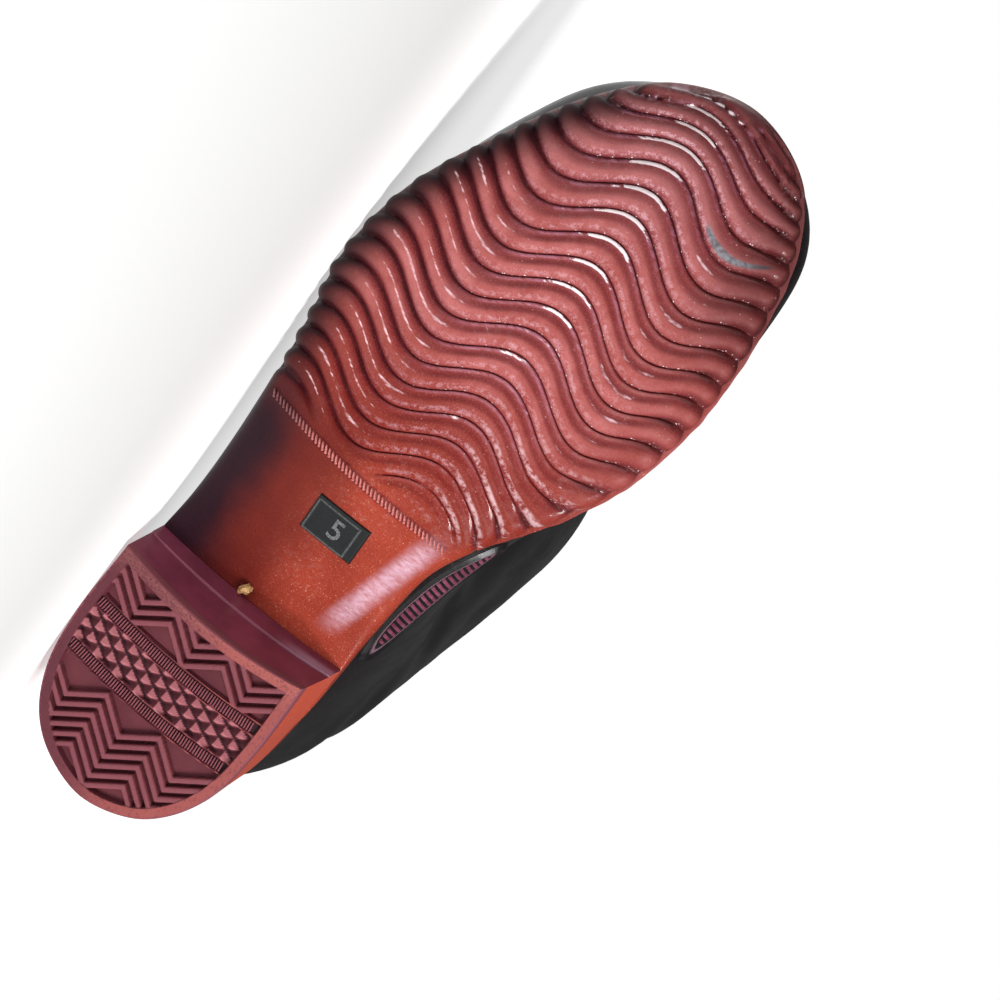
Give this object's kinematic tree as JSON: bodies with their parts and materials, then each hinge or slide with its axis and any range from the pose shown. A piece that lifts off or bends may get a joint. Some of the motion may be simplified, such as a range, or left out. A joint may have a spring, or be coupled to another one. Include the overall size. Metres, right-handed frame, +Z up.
{
  "type": "rubber boot",
  "caption": "Tall slip-on rubber boot for the right foot, hollow with an open collar, wavy ribbed sole, low heel with zigzag tread; lies on its outer side with the sole to the front.",
  "frame": {"origin": "middle of the boot's footprint box, on the floor that it lies on", "axes": "+Z up from the floor to the boot's inner side, +X from the toe to the heel, +Y from the sole to the collar"},
  "size_m": [0.274, 0.2936, 0.1052],
  "materials": {
    "outsole": "glossy brick-red rubber, moulded",
    "heel": "matt maroon rubber, moulded",
    "upper": "glossy black lacquered rubber",
    "insole": "woven cotton over felt",
    "size_label": "glossy black rubber inlay",
    "arch_patch": "satin black rubber"
  },
  "bodies": {
    "root": {"outsole": "outsole", "heel": "heel", "upper": "upper", "insole": "insole", "size_label": "size_label", "arch_patch": "arch_patch"}
  },
  "joints": []
}
